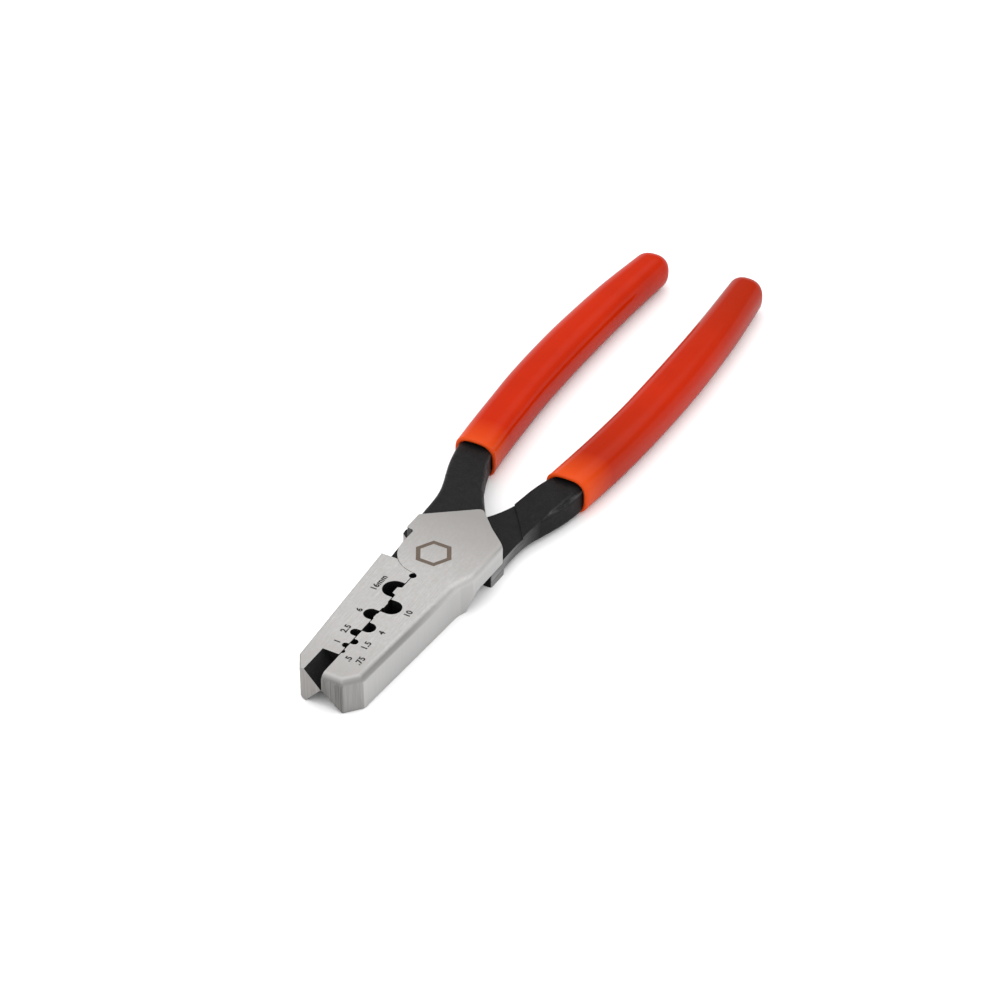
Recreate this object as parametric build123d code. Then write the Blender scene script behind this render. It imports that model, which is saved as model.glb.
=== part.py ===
"""Ferrule crimping pliers: two crossed steel forgings on a lap joint, a flush rivet and two grips.

Frame: the origin is on the rivet's axis, on the flat underside of the head.
+Y runs from the rivet to the handle ends, so the jaws point along -Y.  +Z is up, out of the top face.
The upper forging has the right jaw (+X), the upper head plate and the left handle.
The lower forging is a like blank turned half round the Y axis, so it has the left jaw (-X).
"""
from build123d import *
import os

# Head: thickness, lap joint and rivet
THICKNESS = 10.0
LAP_Z = THICKNESS / 2
LAP_GAP = 0.10
HINGE_R = 9.2
HINGE_GAP = 0.12
RIVET_SHANK_R = 3.5
RIVET_HEAD_R = 4.4
RIVET_HEAD_H = 1.4
RIVET_FIT = 0.05

# Jaws
JAW_TIP_Y = -53.8
JAW_CORNER_Y = -49.5
JAW_TIP_HALF = 5.9
SHOULDER_Y = -6.3
SHOULDER_SLOPE = 3.8
PARTING_GAP = 0.26
JAW_FOOT_R = 0.4
RELIEF_Y = -10.3
RELIEF_R = 0.98

# Wire cutter in the nose
CUTTER_Y = -45.1
CUTTER_SETBACK = 4.7
ANVIL_SETBACK = 6.0

# Head plate
PLATE_BACK_Y = 12.1
PLATE_WAIST = (7.7, 16.2)
PLATE_APEX = (1.8, 22.1)

# The two blanks, as (x, y) before the lower one is turned over.
# flank lists the plate's right side from back to front, each corner with its radius.
# lug is a low boss beside the flank's back corner.
UPPER_BLANK = {
    "jaw_halves": (9.6, 11.9),
    "nose_r": 1.0,
    "edge_r": 2.0,
    "flank": [(14.1, 10.9, 1.7), (14.0, -2.8, 6.0), (11.65, -8.7, 6.0)],
    "lug": [],
    "wing_x": -11.5,
    "notch_y": 5.8,
    "tang_outer": [(-11.8, 11.5), (-12.3, 18.5), (-12.9, 24.5), (-14.7, 30.4), (-16.8, 36.2), (-18.7, 44.0)],
    "tang_inner": [(-6.1, 37.0), (-1.9, 29.0), (1.8, 23.3)],
}
LOWER_BLANK = {
    "jaw_halves": (8.6, 11.65),
    "nose_r": 0,
    "edge_r": 1.4,
    "flank": [(12.91, 11.6, 1.0), (11.65, SHOULDER_Y, 0)],
    "lug": [(12.0, 13.0), (13.7, 11.7), (14.5, 10.4), (14.3, 8.7), (12.9, 7.6), (12.0, 7.6)],
    "wing_x": -13.5,
    "notch_y": 5.6,
    "tang_outer": [(-13.5, 11.5), (-13.5, 17.5), (-13.9, 22.5), (-15.6, 28.4), (-17.8, 35.0), (-19.4, 44.0)],
    "tang_inner": [(-6.4, 37.0), (-3.8, 29.9), (-0.4, 24.2)],
}

# Handles
TANG_INSET = 1.0
TANG_FACE_R = 1.2
TANG_LAP_R = 2.6
TANG_END_Y = 140.0
RAMP_START = (-9.2, 27.6)
RAMP_LENGTH = 11.0
RAMP_STEP = 0.5

# Grips, both drawn on the left: outer and inner side as (x, y) from the mouth toward the end
GRIP_HEIGHT = 11.0
GRIP_EDGE_R = 4.6
GRIP_LIP_R = 0.5
LEFT_GRIP = {
    "outer": [(-20.35, 45.5), (-21.25, 54.5), (-22.15, 65.5), (-23.3, 81.0)],
    "inner": [(-10.75, 81.0), (-9.8, 65.5), (-8.9, 54.5), (-7.9, 45.5)],
    "end_y": 154.3,
}
RIGHT_GRIP = {
    "outer": [(-20.75, 43.9), (-21.9, 54.5), (-22.8, 65.5), (-23.5, 81.0)],
    "inner": [(-10.9, 81.0), (-10.15, 65.5), (-9.3, 54.5), (-8.4, 43.9)],
    "end_y": 155.4,
}
MOUTH_WIDTH = 10.6
MOUTH_HEIGHT = 9.4
MOUTH_DEPTH = 5.0
MOUTH_EDGE_R = 3.4

# Crimping nests: centre along the jaws, width, depth
LEFT_NESTS = [(-17.0, 6.3, 4.45), (-28.15, 3.9, 3.3), (-36.05, 2.5, 2.35), (-41.35, 1.7, 1.45)]
RIGHT_NESTS = [(-23.6, 5.3, 4.5), (-33.0, 3.6, 2.8), (-39.3, 2.0, 1.7), (-43.7, 1.4, 0.7)]
# Pressing teeth on the opposite jaw: centre along the jaws, width at the root, height
RIGHT_TEETH = [(-17.3, 3.6, 1.1), (-28.3, 2.6, 0.25)]
LEFT_TEETH = [(-23.6, 3.2, 0.3)]


def slab(face, bottom, top):
    """A flat face in plan, extruded from one height to another."""
    return Pos(0, 0, bottom) * extrude(face, top - bottom)


def turned_over(shape):
    """The same shape turned half round the handle axis, at mid thickness."""
    return Pos(0, 0, THICKNESS) * Rot(0, 180, 0) * shape


def rounded(face, x, y, radius):
    """The face with its corner nearest to (x, y) rounded."""
    return fillet(face.vertices().sort_by_distance(Vector(x, y, 0))[0], radius)


def jaw_face(jaw_halves, nose_r):
    """One jaw in plan, into the hinge; jaw_halves are its widths at the nose and at the root."""
    inner = PARTING_GAP / 2
    nose_half, root_half = jaw_halves
    face = Sketch() + make_face(Polyline([
        (inner, JAW_TIP_Y),
        (JAW_TIP_HALF, JAW_TIP_Y),
        (nose_half, JAW_CORNER_Y),
        (root_half, SHOULDER_Y),
        (HINGE_R - 1.4, SHOULDER_Y + 0.9),
        (inner, SHOULDER_Y + 0.9),
    ], close=True))
    if nose_r:
        face = rounded(face, JAW_TIP_HALF, JAW_TIP_Y, nose_r)
        face = rounded(face, nose_half, JAW_CORNER_Y, nose_r)
    return face


def plate_face(flank, wing_x, notch_y, back_corner_r):
    """The head plate in plan: a round hinge disc, a stop wing on the left and a flank on the right."""
    jaw_root = flank[-1]
    notch = (-HINGE_R, notch_y - 0.1)
    wing_tip = (wing_x, notch_y + 0.2)
    outline = Polyline([
        (wing_x, PLATE_BACK_Y),
        PLATE_APEX,
        PLATE_WAIST,
        *[(x, y) for x, y, radius in flank],
        (jaw_root[0] - 0.8, -14.0),
        (2.0, -8.5),
        (0.0, -HINGE_R + 0.5),
        (-HINGE_R, 0.0),
        notch,
        wing_tip,
    ], close=True)
    face = Sketch() + make_face(outline)
    face = rounded(face, *PLATE_APEX, 1.5)
    face = rounded(face, *PLATE_WAIST, 8.0)
    face = rounded(face, *notch, 0.8)
    face = rounded(face, *wing_tip, 0.5)
    if back_corner_r:
        face = rounded(face, flank[0][0], flank[0][1], back_corner_r)
    return face + Circle(HINGE_R)


def head_face(jaw_halves, nose_r, flank, wing_x, notch_y, back_corner_r):
    """The head plate and the jaw in plan, blended where the flank meets the jaw."""
    face = plate_face(flank, wing_x, notch_y, back_corner_r) + jaw_face(jaw_halves, nose_r)
    for x, y, radius in flank[1:]:
        if radius:
            face = rounded(face, x, y, radius)
    return face


def tang_face(tang_outer, tang_inner):
    """The left handle in plan, from under the head plate to its round end inside the grip."""
    outer = Spline([*tang_outer, (-19.9, 53.5), (-21.2, 81.0), (-21.3, 101.0), (-20.7, 120.0),
                    (-19.6, TANG_END_Y - 4)])
    end = ThreePointArc((-19.6, TANG_END_Y - 4), (-15.8, TANG_END_Y), (-12.0, TANG_END_Y - 4))
    inner = Spline([(-12.0, TANG_END_Y - 4), (-12.8, 120.0), (-13.1, 101.0), (-12.6, 81.0),
                    (-10.4, 53.5), (-8.9, 45.0), *tang_inner])
    closing = Polyline([tang_inner[-1], (1.8, 20.4), (0.0, 14.0), tang_outer[0]])
    return make_face(outer + end + inner + closing)


def long_edges(face):
    """The edges of a handle's flat face that run along its sides and round its end."""
    return face.edges().filter_by(lambda edge: edge.center().Y > PLATE_APEX[1] + 5)


def lap_cut():
    """What is missing from the handle's lap side: half its height near the hinge, then a step and a ramp."""
    profile = make_face(Polyline([
        (-30, LAP_Z + LAP_GAP / 2),
        (0, LAP_Z + LAP_GAP / 2),
        (0, LAP_Z + LAP_GAP / 2 - RAMP_STEP),
        (RAMP_LENGTH, TANG_INSET),
        (RAMP_LENGTH, -1),
        (-30, -1),
    ], close=True))
    ramp_plane = Plane(origin=(*RAMP_START, 0), x_dir=(-0.788, 0.616, 0), z_dir=(0.616, 0.788, 0))
    return extrude(ramp_plane * profile, 25, both=True)


def tang(tang_outer, tang_inner):
    """The left handle's steel, with the lap side ramped down to the lap joint near the hinge."""
    bar = slab(tang_face(tang_outer, tang_inner), TANG_INSET, THICKNESS - TANG_INSET)
    bar = fillet(long_edges(bar.faces().sort_by(Axis.Z)[-1]), TANG_FACE_R)
    bar = fillet(long_edges(bar.faces().sort_by(Axis.Z)[0]), TANG_LAP_R)
    return bar - lap_cut()


def flank_edges(face):
    """The outer edges of a head face, from the nose corner to the back of the plate's flank."""
    edges = face.edges().filter_by(lambda edge: edge.center().X > JAW_TIP_HALF + 0.5)
    return edges.filter_by(lambda edge: edge.center().Y < PLATE_BACK_Y)


def shoulder_slope():
    """The wedge off the jaw's shoulder, below mid thickness."""
    lap_top = LAP_Z + LAP_GAP / 2
    profile = make_face(Polyline([
        (SHOULDER_Y + SHOULDER_SLOPE, lap_top),
        (SHOULDER_Y, 0),
        (SHOULDER_Y, -1),
        (SHOULDER_Y + 9, -1),
        (SHOULDER_Y + 9, lap_top),
    ], close=True))
    return extrude(Plane.YZ * profile, 20)


def blank(jaw_halves, nose_r, edge_r, flank, lug, wing_x, notch_y, tang_outer, tang_inner):
    """A forging before its crimping nests are cut, with its jaw on the right."""
    lap_top = LAP_Z + LAP_GAP / 2
    sharp = head_face(jaw_halves, nose_r, flank, wing_x, notch_y, 0)
    corner = sharp - head_face(jaw_halves, nose_r, flank, wing_x, notch_y, flank[0][2])
    reach = SHOULDER_Y + SHOULDER_SLOPE
    jaw = sharp & Pos(10, reach - 30) * Rectangle(20, 60)
    body = slab(sharp, lap_top, THICKNESS) + slab(jaw - Circle(HINGE_R + HINGE_GAP), 0, lap_top)
    body -= shoulder_slope()
    body = fillet(flank_edges(body.faces().sort_by(Axis.Z)[-1]), edge_r)
    body = fillet(flank_edges(body.faces().sort_by(Axis.Z)[0]), JAW_FOOT_R)
    body -= slab(corner, -1, THICKNESS + 1)
    if lug:
        body += slab(make_face(Polyline(lug, close=True)), lap_top, THICKNESS - edge_r)
    return body + tang(tang_outer, tang_inner)


def nest(centre, width, depth, side):
    """A U-shaped crimping nest cut in from the parting line; side is -1 for the left jaw."""
    floor = depth - width / 2
    cut = Pos(side * floor, centre) * Circle(width / 2)
    if floor > 0:
        cut += Pos(side * (floor - 1) / 2, centre) * Rectangle(floor + 1, width)
    return slab(cut, -1, THICKNESS + 1)


def tooth(centre, width, height, side):
    """A pressing tooth that stands out of one jaw's parting face; side is +1 for the right jaw."""
    tip = side * (PARTING_GAP / 2 - height)
    root = side * 0.5
    outline = make_face(Polyline([
        (root, centre - width / 2),
        (tip, centre - width / 3),
        (tip, centre + width / 3),
        (root, centre + width / 2),
    ], close=True))
    return slab(outline, 0, THICKNESS)


def bevel(setback, side, z_face):
    """The wedge cut away beside the cutter, from mid thickness to the face at z_face."""
    edge = side * PARTING_GAP / 2
    outside = z_face + (1 if z_face > LAP_Z else -1)
    profile = make_face(Polyline([
        (edge - side, LAP_Z),
        (edge, LAP_Z),
        (side * setback, z_face),
        (side * setback, outside),
        (edge - side, outside),
    ], close=True))
    length = CUTTER_Y - JAW_TIP_Y + 1
    return extrude(Pos(0, CUTTER_Y, 0) * Rot(90, 0, 0) * profile, length)


def upper_half():
    """The right jaw, the upper head plate and the left handle in one forging."""
    forging = blank(**UPPER_BLANK) - slab(Pos(0, RELIEF_Y) * Circle(RELIEF_R), -1, THICKNESS + 1)
    for centre, width, depth in RIGHT_NESTS:
        forging -= nest(centre, width, depth, 1)
    for centre, width, height in RIGHT_TEETH:
        forging += tooth(centre, width, height, 1)
    forging -= bevel(ANVIL_SETBACK, 1, 0)
    return forging - rivet(0)


def lower_half():
    """The left jaw, the lower head plate and the right handle in one forging."""
    forging = turned_over(blank(**LOWER_BLANK)) - slab(Pos(0, RELIEF_Y) * Circle(RELIEF_R), -1, THICKNESS + 1)
    for centre, width, depth in LEFT_NESTS:
        forging -= nest(centre, width, depth, -1)
    for centre, width, height in LEFT_TEETH:
        forging += tooth(centre, width, height, -1)
    forging -= bevel(CUTTER_SETBACK, -1, 0)
    forging -= bevel(CUTTER_SETBACK, -1, THICKNESS)
    return forging - rivet(RIVET_FIT)


def rivet(fit):
    """The flush rivet with a conical head in each face; fit is the radial room around it."""
    shank = Pos(0, 0, LAP_Z) * Cylinder(RIVET_SHANK_R + fit, THICKNESS)
    head = Cone(RIVET_HEAD_R + fit, RIVET_SHANK_R + fit, RIVET_HEAD_H)
    head = Pos(0, 0, RIVET_HEAD_H / 2) * head
    return shank + head + turned_over(head)


def grip_outline(outer, inner, end_y):
    """A grip in plan, open end toward the head."""
    outer_side = Spline([*outer, (-23.65, 101.0), (-23.1, 117.0), (-22.1, 132.0), (-20.2, end_y - 5)])
    end = ThreePointArc((-20.2, end_y - 5), (-14.8, end_y), (-9.4, end_y - 5))
    inner_side = Spline([(-9.4, end_y - 5), (-10.35, 132.0), (-10.8, 117.0), (-11.0, 101.0), *inner])
    return make_face(outer_side + end + inner_side + Line(inner[-1], outer[0]))


def grip_sleeve(outer, inner, end_y):
    """A grip before it is hollowed to the steel: a rounded bar with a wide open mouth."""
    mouth_x, mouth_y = (outer[0][0] + inner[-1][0]) / 2, outer[0][1]
    bar = slab(grip_outline(outer, inner, end_y), 0, GRIP_HEIGHT)
    top_and_bottom = bar.faces().sort_by(Axis.Z)[-1].edges() + bar.faces().sort_by(Axis.Z)[0].edges()
    bar = fillet(top_and_bottom.filter_by(lambda edge: edge.center().Y > mouth_y + 0.1), GRIP_EDGE_R)
    bar = fillet(bar.faces().sort_by(Axis.Y)[0].edges(), GRIP_LIP_R)
    room = Box(MOUTH_WIDTH, MOUTH_DEPTH + 1, MOUTH_HEIGHT)
    mouth = Pos(mouth_x, mouth_y + MOUTH_DEPTH / 2 - 0.5, GRIP_HEIGHT / 2) * room
    return bar - fillet(mouth.edges().filter_by(Axis.Y), MOUTH_EDGE_R)


def left_grip():
    """The soft sleeve on the left handle, hollowed to the steel."""
    return grip_sleeve(**LEFT_GRIP) - tang(UPPER_BLANK["tang_outer"], UPPER_BLANK["tang_inner"])


def right_grip():
    """The soft sleeve on the right handle, hollowed to its own steel."""
    handle = turned_over(tang(LOWER_BLANK["tang_outer"], LOWER_BLANK["tang_inner"]))
    return mirror(grip_sleeve(**RIGHT_GRIP), about=Plane.YZ) - handle


pieces = {
    "upper_half": upper_half(),
    "lower_half": lower_half(),
    "pivot_rivet": rivet(0),
    "left_grip": left_grip(),
    "right_grip": right_grip(),
}

os.makedirs("parts", exist_ok=True)
for name, piece in pieces.items():
    export_step(piece, f"parts/{name}.step")
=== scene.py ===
"""Looks of the ferrule crimping pliers: brushed head, blackened handles, vinyl grips, etched size marks."""
import math

import bpy
from mathutils import Matrix, Vector


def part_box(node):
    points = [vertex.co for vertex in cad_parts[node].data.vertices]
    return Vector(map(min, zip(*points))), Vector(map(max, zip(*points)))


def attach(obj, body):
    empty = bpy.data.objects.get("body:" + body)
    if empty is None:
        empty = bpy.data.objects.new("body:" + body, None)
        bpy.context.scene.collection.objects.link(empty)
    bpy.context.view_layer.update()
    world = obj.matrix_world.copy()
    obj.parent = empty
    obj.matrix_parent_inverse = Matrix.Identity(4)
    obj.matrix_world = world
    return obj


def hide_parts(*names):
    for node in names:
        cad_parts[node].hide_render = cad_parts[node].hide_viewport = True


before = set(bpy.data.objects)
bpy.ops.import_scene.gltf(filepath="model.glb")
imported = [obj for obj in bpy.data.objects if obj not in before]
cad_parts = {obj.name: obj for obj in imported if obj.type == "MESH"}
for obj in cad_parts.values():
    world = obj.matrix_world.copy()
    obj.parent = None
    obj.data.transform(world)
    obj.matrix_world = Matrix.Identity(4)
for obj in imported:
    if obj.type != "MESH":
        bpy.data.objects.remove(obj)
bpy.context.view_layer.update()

MM = 0.001

# Camera: it looks down over the jaws, from in front of them and to their right
CAMERA_AT = (0.3057, -0.5082, 0.4817)
CAMERA_AZIMUTH = 29.41
CAMERA_ELEVATION = 37.49
LENS = 108.0

# Head, in millimetres in the row frame
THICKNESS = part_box("upper_half")[1].z / MM
LAP_Z = THICKNESS / 2
HINGE_R = 9.2
CUTTER_Y = -45.1
BEVEL_REACH = 6.3
NEST_HALF = 4.75
RELIEF_Y = -9.0
WING_X = -11.5
PLATE_BACK_Y = 12.1
PLATE_BACK_SLOPE = 0.752
MARK_LIFT = 0.012

# Grips: (y, outer side, inner side), as distances from the middle, from the mouth toward the end
GRIP_BACK = [(101.0, 23.65, 11.0), (117.0, 23.1, 10.8), (132.0, 22.1, 10.35)]
LEFT_GRIP = [(45.5, 20.35, 7.9), (54.5, 21.25, 8.9), (65.5, 22.15, 9.8), (81.0, 23.3, 10.75), *GRIP_BACK,
             (148.7, 20.1, 9.4)]
RIGHT_GRIP = [(43.5, 20.7, 8.3), (54.5, 21.9, 9.3), (65.5, 22.8, 10.15), (81.0, 23.5, 10.9), *GRIP_BACK,
              (150.4, 20.1, 9.4)]
GRIP_END_LENGTH = 5.0
GRIP_HEIGHT = 11.0
GRIP_WALL = 1.15
GRIP_LIP_R = 0.6
GRIP_CAVITY_DEPTH = 10.0
RING_POINTS = 72
LIP_STEPS = 12
SIDE_STEPS = 90
END_STEPS = 12

# Size marks: text, where its baseline starts (x, y), cap height, body
MARKS = [
    ("16mm", -5.2, -19.9, 1.62, "lower_body"),
    ("6", -3.9, -28.8, 1.62, "lower_body"),
    ("2.5", -3.0, -37.5, 1.62, "lower_body"),
    ("1", -2.3, -41.7, 1.62, "lower_body"),
    ("10", 7.4, -24.9, 1.62, "upper_body"),
    ("4", 5.5, -33.7, 1.62, "upper_body"),
    ("1.5", 4.7, -40.6, 1.62, "upper_body"),
    (".5", 3.5, -46.3, 1.62, "upper_body"),
    (".75", 6.4, -46.2, 1.62, "upper_body"),
]
MARK_BOLD = 0.085
CAP_HEIGHT_SHARE = 0.7
EMBLEM_R = 5.2
EMBLEM_STROKE = 1.35

# Studio: the white that lights the floor, and what a reflection sees at each height (sine of elevation)
SKY_WHITE = 1.6
SKY_BANDS = [(0.0, 0.85), (0.3, 0.75), (0.42, 0.32), (0.62, 0.36), (0.7, 0.97), (0.85, 1.0), (1.0, 1.0)]
FLOOR_HALF = 3.0
FLOOR_TONE = (0.9, 0.9, 0.9)
FLOOR_MIRRORED_TONE = (0.45, 0.45, 0.45)


# ---------------------------------------------------------------- node helpers

def new_material(name):
    """An empty material: its node tree, its links and its Principled node."""
    material = bpy.data.materials.new(name)
    material.use_nodes = True
    nodes = material.node_tree.nodes
    return material, nodes, material.node_tree.links, nodes["Principled BSDF"]


def object_coordinates(nodes, links, scale):
    """Object coordinates stretched by scale, so that a texture can run along one axis."""
    source = nodes.new("ShaderNodeTexCoord")
    mapping = nodes.new("ShaderNodeMapping")
    mapping.inputs["Scale"].default_value = scale
    links.new(source.outputs["Object"], mapping.inputs["Vector"])
    return mapping.outputs["Vector"]


def noise(nodes, links, vector, scale, detail=4.0, roughness=0.6):
    """A noise texture's value."""
    texture = nodes.new("ShaderNodeTexNoise")
    texture.inputs["Scale"].default_value = scale
    texture.inputs["Detail"].default_value = detail
    texture.inputs["Roughness"].default_value = roughness
    links.new(vector, texture.inputs["Vector"])
    return texture.outputs["Fac"]


def remap(nodes, links, value, low, high, to_low, to_high):
    """value mapped from low..high to to_low..to_high, and held there."""
    node = nodes.new("ShaderNodeMapRange")
    node.clamp = True
    links.new(value, node.inputs["Value"])
    for name, number in (("From Min", low), ("From Max", high), ("To Min", to_low), ("To Max", to_high)):
        node.inputs[name].default_value = number
    return node.outputs["Result"]


def mix_colors(nodes, links, factor, first, second):
    """Blends two colours by factor; each colour is three numbers or a socket."""
    node = nodes.new("ShaderNodeMix")
    node.data_type = "RGBA"
    links.new(factor, node.inputs["Factor"])
    for socket, color in ((node.inputs["A"], first), (node.inputs["B"], second)):
        if isinstance(color, tuple):
            socket.default_value = (*color, 1.0)
        else:
            links.new(color, socket)
    return node.outputs["Result"]


def mix_values(nodes, links, factor, first, second):
    """Blends two sockets' values by factor."""
    node = nodes.new("ShaderNodeMix")
    links.new(factor, node.inputs["Factor"])
    links.new(first, node.inputs["A"])
    links.new(second, node.inputs["B"])
    return node.outputs["Result"]


def bump(nodes, links, height, strength, distance, normal=None):
    """A bump from a height, on top of another bump if one is given."""
    node = nodes.new("ShaderNodeBump")
    node.inputs["Strength"].default_value = strength
    node.inputs["Distance"].default_value = distance
    links.new(height, node.inputs["Height"])
    if normal is not None:
        links.new(normal, node.inputs["Normal"])
    return node.outputs["Normal"]


def normal_size(nodes, links, axis):
    """The size of a face's normal along one axis, from 0 to 1."""
    geometry = nodes.new("ShaderNodeNewGeometry")
    split = nodes.new("ShaderNodeSeparateXYZ")
    links.new(geometry.outputs["Normal"], split.inputs["Vector"])
    size = nodes.new("ShaderNodeMath")
    size.operation = "ABSOLUTE"
    links.new(split.outputs[axis], size.inputs[0])
    return size.outputs["Value"]


def position(nodes, links, axis):
    """Where a point is along one axis, in metres."""
    split = nodes.new("ShaderNodeSeparateXYZ")
    links.new(object_coordinates(nodes, links, (1, 1, 1)), split.inputs["Vector"])
    return split.outputs[axis]


def combine(nodes, links, operation, first, second):
    """One arithmetic step on two sockets, or on a socket and a number."""
    node = nodes.new("ShaderNodeMath")
    node.operation = operation
    links.new(first, node.inputs[0])
    if isinstance(second, (int, float)):
        node.inputs[1].default_value = second
    else:
        links.new(second, node.inputs[1])
    return node.outputs["Value"]


# ---------------------------------------------------------------- materials

def brushed_steel():
    """Ground steel: fine lines along the tool on the flat faces, and across the thickness on the walls."""
    material, nodes, links, shader = new_material("brushed_steel")
    flat = remap(nodes, links, normal_size(nodes, links, "Z"), 0.5, 0.8, 0, 1)
    along = noise(nodes, links, object_coordinates(nodes, links, (3600, 170, 400)), 1.0)
    upright = noise(nodes, links, object_coordinates(nodes, links, (2600, 2600, 90)), 1.0)
    lines = mix_values(nodes, links, flat, upright, along)
    patches = noise(nodes, links, object_coordinates(nodes, links, (1.6, 1, 1)), 700.0, 6.0, 0.8)
    tone = mix_colors(nodes, links, remap(nodes, links, lines, 0.3, 0.7, 0, 1), (0.7, 0.685, 0.67),
                      (0.9, 0.89, 0.88))
    patchy = remap(nodes, links, patches, 0.38, 0.65, 0, 0.75)
    worn = mix_colors(nodes, links, patchy, tone, (0.68, 0.65, 0.63))
    along_tool = position(nodes, links, "Y")
    toward_handles = remap(nodes, links, along_tool, -8 * MM, 18 * MM, 0, 0.85)
    toward_nose = remap(nodes, links, along_tool, -36 * MM, -50 * MM, 0, 0.6)
    top = mix_colors(nodes, links, toward_handles, worn, (0.5, 0.48, 0.465))
    top = mix_colors(nodes, links, toward_nose, top, (0.62, 0.6, 0.585))
    # Painted shade: walls facing forward, toward the jaw tips, are darker than the side walls, and darkest on
    # the left jaw.
    front = remap(nodes, links, normal_size(nodes, links, "Y"), 0.3, 0.9, 0, 1)
    left_jaw = remap(nodes, links, position(nodes, links, "X"), -1 * MM, 1 * MM, 1, 0)
    front_painted_shade = mix_colors(nodes, links, left_jaw, (0.17, 0.16, 0.15), (0.42, 0.4, 0.385))
    side = mix_colors(nodes, links, front, (0.74, 0.735, 0.73), front_painted_shade)
    streaks = remap(nodes, links, lines, 0.3, 0.7, 0, 0.45)
    streaked = mix_colors(nodes, links, streaks, side, (0.72, 0.71, 0.7))
    # Painted reflection: a soft dark strip on the rounded corners along the jaws, where the tilted steel
    # mirrors a dark part of the studio; fainter where they face forward.
    tilt = normal_size(nodes, links, "Z")
    rise = remap(nodes, links, tilt, 0.1, 0.4, 0, 1)
    fall = remap(nodes, links, tilt, 0.8, 0.99, 1, 0)
    sideways = remap(nodes, links, front, 0.0, 0.6, 0.8, 0.5)
    on_jaw = remap(nodes, links, along_tool, -30 * MM, -8 * MM, 1, 0)
    painted_reflection_band = combine(nodes, links, "MULTIPLY", combine(nodes, links, "MULTIPLY", rise, fall), sideways)
    painted_reflection_band = combine(nodes, links, "MULTIPLY", painted_reflection_band, on_jaw)
    shaded = mix_colors(nodes, links, flat, streaked, top)
    links.new(mix_colors(nodes, links, painted_reflection_band, shaded, (0.34, 0.335, 0.33)), shader.inputs["Base Color"])
    links.new(remap(nodes, links, lines, 0.25, 0.75, 0.42, 0.58), shader.inputs["Roughness"])
    links.new(bump(nodes, links, lines, 0.3, 0.00002), shader.inputs["Normal"])
    shader.inputs["Metallic"].default_value = 1.0
    return material


def black_oxide():
    """Blackened forged steel with a mottled skin, rubbed bright on its outer walls near the head, and lighter
    in broken patches along the rounded corners of the handles: chipped wear and a painted highlight together.
    """
    material, nodes, links, shader = new_material("black_oxide")
    grain = noise(nodes, links, object_coordinates(nodes, links, (1, 1, 1)), 2200.0, 6.0, 0.75)
    clouds = noise(nodes, links, object_coordinates(nodes, links, (1, 1, 1)), 420.0, 3.0)
    skin = mix_colors(nodes, links, remap(nodes, links, grain, 0.35, 0.7, 0, 1), (0.001, 0.001, 0.0012),
                      (0.015, 0.015, 0.0155))
    cloudy = remap(nodes, links, clouds, 0.35, 0.65, 0, 0.5)
    color = mix_colors(nodes, links, cloudy, skin, (0.004, 0.004, 0.0045))
    wall = remap(nodes, links, normal_size(nodes, links, "Z"), 0.25, 0.6, 1, 0)
    size_x = combine(nodes, links, "ABSOLUTE", position(nodes, links, "X"), 0.0)
    outer = remap(nodes, links, size_x, 11.0 * MM, 11.6 * MM, 0, 1)
    near_head = remap(nodes, links, position(nodes, links, "Y"), 8 * MM, 28 * MM, 0.62, 0.0)
    streaks = noise(nodes, links, object_coordinates(nodes, links, (900, 90, 1400)), 1.0)
    sideways = remap(nodes, links, normal_size(nodes, links, "X"), 0.4, 0.7, 0, 1)
    outer = combine(nodes, links, "MULTIPLY", outer, sideways)
    rubbed = combine(nodes, links, "MULTIPLY", combine(nodes, links, "MULTIPLY", wall, outer), near_head)
    rubbed = combine(nodes, links, "MULTIPLY", rubbed, remap(nodes, links, streaks, 0.3, 0.7, 0.5, 1.2))
    color = mix_colors(nodes, links, rubbed, color, (0.34, 0.34, 0.335))
    left_end = remap(nodes, links, position(nodes, links, "X"), -9.8 * MM, -10.2 * MM, 0, 0.8)
    left_end = combine(nodes, links, "MULTIPLY", combine(nodes, links, "MULTIPLY", wall, left_end), near_head)
    color = mix_colors(nodes, links, left_end, color, (0.13, 0.13, 0.13))
    # Rounded corners on the handles get lighter broken patches: partly chipped wear in the black, partly a
    # painted highlight along the curve.
    tilt = normal_size(nodes, links, "Z")
    rise = remap(nodes, links, tilt, 0.2, 0.5, 0, 1)
    fall = remap(nodes, links, tilt, 0.6, 0.9, 1, 0)
    worn_and_highlighted_edge = combine(nodes, links, "MULTIPLY", rise, fall)
    on_handle = remap(nodes, links, position(nodes, links, "Y"), 10 * MM, 16 * MM, 0, 1)
    worn_and_highlighted_edge = combine(nodes, links, "MULTIPLY", worn_and_highlighted_edge, on_handle)
    chip_and_highlight_breaks = remap(nodes, links, streaks, 0.42, 0.62, 0, 0.5)
    worn_and_highlighted_edge = combine(nodes, links, "MULTIPLY", worn_and_highlighted_edge, chip_and_highlight_breaks)
    links.new(mix_colors(nodes, links, worn_and_highlighted_edge, color, (0.09, 0.09, 0.093)), shader.inputs["Base Color"])
    links.new(remap(nodes, links, clouds, 0.3, 0.7, 0.36, 0.5), shader.inputs["Roughness"])
    rough_skin = bump(nodes, links, grain, 0.5, 0.00008)
    links.new(bump(nodes, links, clouds, 0.3, 0.0002, rough_skin), shader.inputs["Normal"])
    shader.inputs["IOR"].default_value = 1.45
    shader.inputs["Specular IOR Level"].default_value = 0.22
    return material


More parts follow.
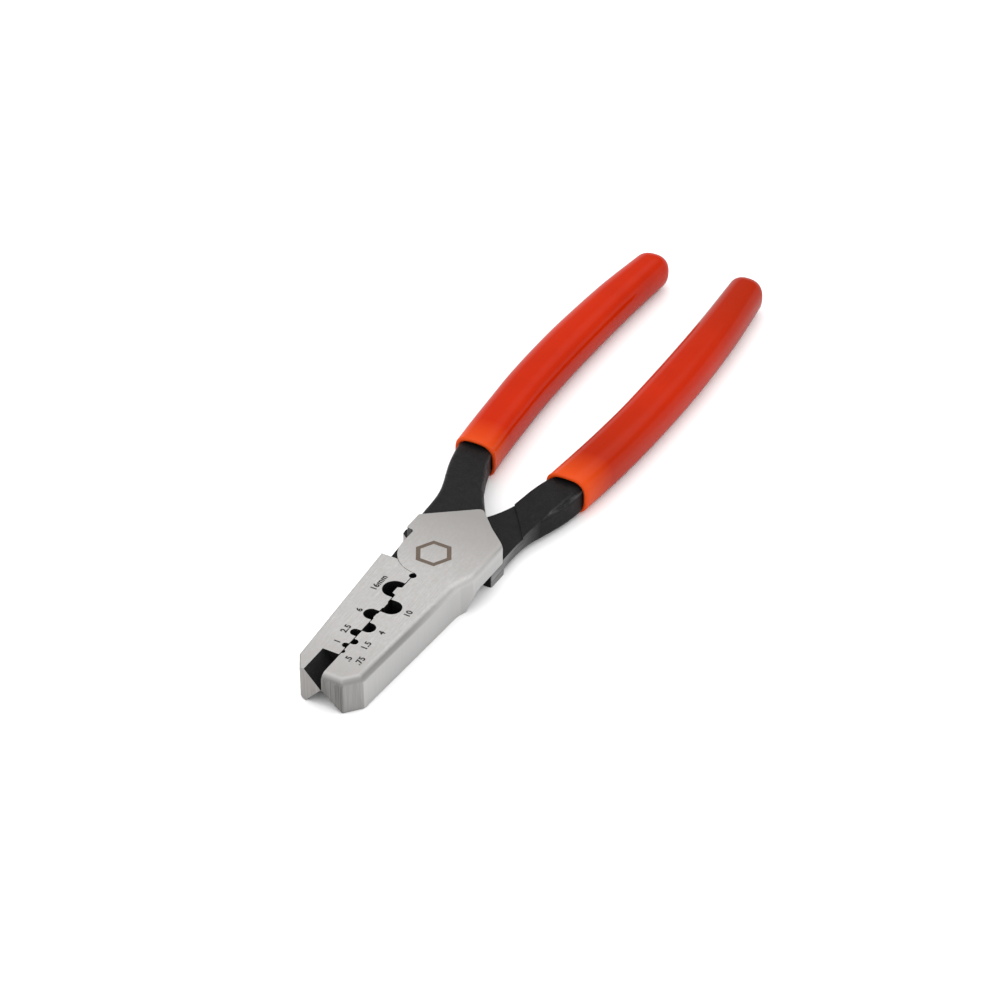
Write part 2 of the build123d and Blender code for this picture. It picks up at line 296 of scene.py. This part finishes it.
def vinyl():
    """Glossy soft vinyl with a painted highlight in brighter orange at the mouth; the right grip carries
    painted shade, darker at both ends.
    """
    material, nodes, links, shader = new_material("vinyl")
    # Painted highlight: the first stretch from the mouth, lip included, is a brighter orange.
    mouth = remap(nodes, links, position(nodes, links, "Y"), 45 * MM, 56 * MM, 1, 0)
    clouds = noise(nodes, links, object_coordinates(nodes, links, (1, 1, 1)), 60.0, 3.0)
    body = mix_colors(nodes, links, remap(nodes, links, clouds, 0.3, 0.7, 0, 1), (0.36, 0.013, 0.0004),
                      (0.4, 0.016, 0.0006))
    # Painted shade: the right grip is darker near its mouth and toward its closed end, a little darker in
    # between.
    right_side = remap(nodes, links, position(nodes, links, "X"), 0, 5 * MM, 0, 1)
    front_half = remap(nodes, links, position(nodes, links, "Y"), 62 * MM, 88 * MM, 0.45, 0.1)
    back_half = remap(nodes, links, position(nodes, links, "Y"), 110 * MM, 140 * MM, 0, 0.45)
    shade = combine(nodes, links, "MULTIPLY", combine(nodes, links, "ADD", front_half, back_half), right_side)
    body = mix_colors(nodes, links, shade, body, (0.21, 0.011, 0.0005))
    links.new(mix_colors(nodes, links, mouth, body, (0.5, 0.05, 0.006)), shader.inputs["Base Color"])
    links.new(remap(nodes, links, clouds, 0.3, 0.7, 0.03, 0.06), shader.inputs["Roughness"])
    ripple = noise(nodes, links, object_coordinates(nodes, links, (1, 1, 1)), 220.0, 2.0)
    links.new(bump(nodes, links, ripple, 0.06, 0.0004), shader.inputs["Normal"])
    shader.inputs["Specular IOR Level"].default_value = 0.15
    return material


def etched():
    """The near-black stain that a laser leaves in the size marks."""
    material, nodes, links, shader = new_material("etched")
    grain = noise(nodes, links, object_coordinates(nodes, links, (3000, 300, 1)), 1.0)
    tone = mix_colors(nodes, links, grain, (0.004, 0.004, 0.004), (0.02, 0.018, 0.016))
    links.new(tone, shader.inputs["Base Color"])
    shader.inputs["Roughness"].default_value = 0.6
    return material


def pale_etched():
    """A lighter brown etch for the wide emblem."""
    material, nodes, links, shader = new_material("pale_etched")
    grain = noise(nodes, links, object_coordinates(nodes, links, (3000, 200, 1)), 1.0)
    tone = mix_colors(nodes, links, grain, (0.085, 0.062, 0.045), (0.17, 0.13, 0.1))
    links.new(tone, shader.inputs["Base Color"])
    shader.inputs["Roughness"].default_value = 0.5
    shader.inputs["Metallic"].default_value = 0.4
    return material


def floor_material():
    """A plain pale studio floor, a little duller where steel and vinyl mirror it."""
    material, nodes, links, shader = new_material("floor")
    path = nodes.new("ShaderNodeLightPath")
    color = mix_colors(nodes, links, path.outputs["Is Glossy Ray"], FLOOR_TONE, FLOOR_MIRRORED_TONE)
    links.new(color, shader.inputs["Base Color"])
    shader.inputs["Roughness"].default_value = 0.8
    return material


# ---------------------------------------------------------------- steel halves

def is_black(centre, normal, side):
    """Whether a face of a forging is black: its blackened skin, which in the nests and in the wing's notch
    also stands for the shade there; side is +1 for the upper half, -1 for the lower one.
    """
    x, y = centre.x / MM * side, centre.y / MM
    z = LAP_Z + (centre.z / MM - LAP_Z) * side
    on_wall = abs(normal.z) < 0.9
    if y > PLATE_BACK_Y - 0.1 + PLATE_BACK_SLOPE * (x - WING_X):
        return True
    if y < CUTTER_Y:
        return on_wall and abs(normal.y) < 0.5 and 0 <= x < BEVEL_REACH and (side < 0 or z < LAP_Z)
    if not on_wall:
        return normal.z * side < 0 and abs(z - LAP_Z) < 0.2
    # Walls within the nests' half-width are black: blackened skin, and also painted shade deep inside the
    # nests.
    if y < RELIEF_Y:
        return abs(x) < NEST_HALF
    # Walls round the rivet and in the wing's notch are black; in the notch this is also painted shade under
    # the wing.
    return math.hypot(x, y) < HINGE_R + 0.3 or (x < 0 and y > 4)


def paint_half(name, side, materials):
    """Gives a forging its two materials, and each face the one that fits it."""
    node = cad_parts[name]
    node.data.materials.clear()
    for material in materials:
        node.data.materials.append(material)
    for face in node.data.polygons:
        face.material_index = int(is_black(face.center, face.normal, side))


# ---------------------------------------------------------------- grips

def smooth_value(stations, column, y):
    """A column of the stations at y, on a smooth curve through them."""
    last = len(stations) - 1
    i = next((k for k in range(last) if y <= stations[k + 1][0]), last - 1)
    y0, y1 = stations[i][0], stations[i + 1][0]
    v0, v1 = stations[i][column], stations[i + 1][column]
    before, after = stations[max(i - 1, 0)], stations[min(i + 2, last)]
    slope0 = (v1 - before[column]) / (y1 - before[0])
    slope1 = (after[column] - v0) / (after[0] - y0)
    t = (y - y0) / (y1 - y0)
    h = y1 - y0
    return ((2 * t**3 - 3 * t**2 + 1) * v0 + (t**3 - 2 * t**2 + t) * h * slope0
            + (3 * t**2 - 2 * t**3) * v1 + (t**3 - t**2) * h * slope1)


def ring(y, centre_x, half_width, low, high, power):
    """One closed section of a sleeve: a squared-off oval between two heights."""
    points = []
    for k in range(RING_POINTS):
        angle = 2 * math.pi * k / RING_POINTS
        c, s = math.cos(angle), math.sin(angle)
        x = centre_x + half_width * math.copysign(abs(c) ** (2 / power), c)
        z = (low + high) / 2 + (high - low) / 2 * math.copysign(abs(s) ** (2 / power), s)
        points.append(Vector((x, y, z)) * MM)
    return points


def grip_rings(sides):
    """A sleeve's sections, from deep inside its mouth, out round the lip and on to its closed end."""
    rings = []
    first_y, outer_x, inner_x = sides[0]
    centre, half = (outer_x + inner_x) / 2, (outer_x - inner_x) / 2
    hole_low, hole_high = 0.6, GRIP_HEIGHT - GRIP_WALL
    for depth in (GRIP_CAVITY_DEPTH, 6.0, 3.0, 1.5, GRIP_LIP_R):
        rings.append(ring(first_y + depth, centre + 0.08 * depth, half - GRIP_WALL, hole_low, hole_high, 3.2))
    for step in range(1, LIP_STEPS):
        angle = math.pi * step / LIP_STEPS
        out = GRIP_WALL / 2 * (1 - math.cos(angle))
        y = first_y + GRIP_LIP_R * (1 - math.sin(angle))
        low = hole_low * (1 - out / GRIP_WALL)
        rings.append(ring(y, centre, half - GRIP_WALL + out, low, hole_high + out, 3.1))
    end_start = sides[-1][0]
    for step in range(SIDE_STEPS + 1):
        y = first_y + GRIP_LIP_R + (end_start - first_y - GRIP_LIP_R) * step / SIDE_STEPS
        outer_x, inner_x = smooth_value(sides, 1, y), smooth_value(sides, 2, y)
        power = 3.0 - 0.6 * step / SIDE_STEPS
        rings.append(ring(y, (outer_x + inner_x) / 2, (outer_x - inner_x) / 2, 0, GRIP_HEIGHT, power))
    outer_x, inner_x = sides[-1][1:]
    for step in range(1, END_STEPS):
        angle = math.pi / 2 * step / END_STEPS
        shrink = math.cos(angle)
        half_height = GRIP_HEIGHT / 2 * shrink
        y = end_start + GRIP_END_LENGTH * math.sin(angle)
        centre = (outer_x + inner_x) / 2 - 0.4 * math.sin(angle)
        half = (outer_x - inner_x) / 2 * shrink
        rings.append(ring(y, centre, half, GRIP_HEIGHT / 2 - half_height, GRIP_HEIGHT / 2 + half_height, 2.4))
    return rings


def make_grip(name, node, body, sides, mirrored, material):
    """A sleeve that stands for a plain CAD grip; it is drawn on the right, and the left one is mirrored."""
    vertices = [point for section in grip_rings(sides) for point in section]
    if mirrored:
        vertices = [Vector((-v.x, v.y, v.z)) for v in vertices]
    faces = []
    count = len(vertices) // RING_POINTS
    for i in range(count - 1):
        for k in range(RING_POINTS):
            a, b = i * RING_POINTS + k, i * RING_POINTS + (k + 1) % RING_POINTS
            face = (a, a + RING_POINTS, b + RING_POINTS, b)
            faces.append(face if not mirrored else face[::-1])
    tip = [(count - 1) * RING_POINTS + k for k in range(RING_POINTS)]
    faces.append(tuple(tip if mirrored else tip[::-1]))
    mesh = bpy.data.meshes.new(name)
    mesh.from_pydata(vertices, [], faces)
    mesh.update()
    for face in mesh.polygons:
        face.use_smooth = True
    mesh.materials.append(material)
    piece = bpy.data.objects.new(name, mesh)
    bpy.context.scene.collection.objects.link(piece)
    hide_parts(node)
    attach(piece, body)


# ---------------------------------------------------------------- etched marks

def make_mark(text, x, y, height, body, material):
    """A size mark etched on a jaw's top face; it reads toward the handles."""
    curve = bpy.data.curves.new("mark_" + text.replace(".", "_"), "FONT")
    curve.body = text
    curve.size = height * MM / CAP_HEIGHT_SHARE
    curve.space_character = 1.08
    curve.offset = MARK_BOLD * MM
    mark = bpy.data.objects.new(curve.name, curve)
    bpy.context.scene.collection.objects.link(mark)
    place = Vector((x, y, THICKNESS + MARK_LIFT)) * MM
    mark.matrix_world = Matrix.Translation(place) @ Matrix.Rotation(math.pi / 2, 4, "Z")
    curve.materials.append(material)
    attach(mark, body)


def make_emblem(material):
    """A plain hexagon outline etched over the rivet."""
    vertices = []
    for radius in (EMBLEM_R, EMBLEM_R - EMBLEM_STROKE):
        for k in range(6):
            angle = math.radians(60 * k)
            x, y = radius * math.cos(angle), radius * math.sin(angle)
            vertices.append(Vector((x, y, THICKNESS + MARK_LIFT)) * MM)
    faces = [(k, (k + 1) % 6, 6 + (k + 1) % 6, 6 + k) for k in range(6)]
    mesh = bpy.data.meshes.new("emblem")
    mesh.from_pydata(vertices, [], faces)
    mesh.materials.append(material)
    emblem = bpy.data.objects.new("emblem", mesh)
    bpy.context.scene.collection.objects.link(emblem)
    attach(emblem, "upper_body")


# ---------------------------------------------------------------- studio

def make_floor():
    """A wide floor under the object."""
    mesh = bpy.data.meshes.new("floor")
    corners = [(-FLOOR_HALF, -FLOOR_HALF, 0), (FLOOR_HALF, -FLOOR_HALF, 0),
               (FLOOR_HALF, FLOOR_HALF, 0), (-FLOOR_HALF, FLOOR_HALF, 0)]
    mesh.from_pydata(corners, [], [(0, 1, 2, 3)])
    mesh.materials.append(floor_material())
    floor = bpy.data.objects.new("floor", mesh)
    bpy.context.scene.collection.objects.link(floor)


def make_light(name, place, aim, size, power):
    """A square soft light that points at aim."""
    data = bpy.data.lights.new(name, "AREA")
    data.size = size
    data.energy = power
    light = bpy.data.objects.new(name, data)
    light.location = place
    light.rotation_mode = "QUATERNION"
    light.rotation_quaternion = (Vector(aim) - Vector(place)).to_track_quat("-Z", "Y")
    light.visible_glossy = False
    bpy.context.scene.collection.objects.link(light)


def make_world():
    """White surroundings for the floor, and a studio of bright and dark bands for reflections to show."""
    world = bpy.data.worlds.new("studio")
    world.use_nodes = True
    nodes, links = world.node_tree.nodes, world.node_tree.links
    background = nodes["Background"]
    split = nodes.new("ShaderNodeSeparateXYZ")
    links.new(nodes.new("ShaderNodeTexCoord").outputs["Generated"], split.inputs["Vector"])
    bands = nodes.new("ShaderNodeValToRGB")
    links.new(split.outputs["Z"], bands.inputs["Fac"])
    while len(bands.color_ramp.elements) < len(SKY_BANDS):
        bands.color_ramp.elements.new(1.0)
    for element, (height, value) in zip(bands.color_ramp.elements, SKY_BANDS):
        element.position = height
        element.color = (value, value, value, 1.0)
    path = nodes.new("ShaderNodeLightPath")
    light = mix_colors(nodes, links, path.outputs["Is Glossy Ray"], (SKY_WHITE,) * 3, bands.outputs["Color"])
    links.new(light, background.inputs["Color"])
    background.inputs["Strength"].default_value = 1.0
    bpy.context.scene.world = world


def make_camera():
    """The camera, aimed by its azimuth and elevation."""
    azimuth, elevation = math.radians(CAMERA_AZIMUTH), math.radians(CAMERA_ELEVATION)
    back = Vector((math.sin(azimuth) * math.cos(elevation), -math.cos(azimuth) * math.cos(elevation),
                   math.sin(elevation)))
    data = bpy.data.cameras.new("camera")
    data.lens = LENS
    data.clip_start, data.clip_end = 0.01, 20
    camera = bpy.data.objects.new("camera", data)
    camera.location = CAMERA_AT
    camera.rotation_mode = "QUATERNION"
    camera.rotation_quaternion = (-back).to_track_quat("-Z", "Y")
    bpy.context.scene.collection.objects.link(camera)
    bpy.context.scene.camera = camera


def main():
    """Paints the steel, draws the grips and the marks, and sets the studio and the camera."""
    steel, oxide, skin = brushed_steel(), black_oxide(), vinyl()
    stain, pale_stain = etched(), pale_etched()
    paint_half("upper_half", 1, (steel, oxide))
    paint_half("lower_half", -1, (steel, oxide))
    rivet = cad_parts["pivot_rivet"]
    rivet.data.materials.clear()
    rivet.data.materials.append(steel)
    make_grip("left_sleeve", "left_grip", "upper_body", LEFT_GRIP, True, skin)
    make_grip("right_sleeve", "right_grip", "lower_body", RIGHT_GRIP, False, skin)
    for mark in MARKS:
        make_mark(*mark, stain)
    make_emblem(pale_stain)
    make_floor()
    make_world()
    make_light("overhead", (-0.35, 0.1, 0.9), (0, 0.05, 0), 0.8, 2.0)
    make_camera()
    bpy.context.scene.view_settings.view_transform = "Standard"


main()
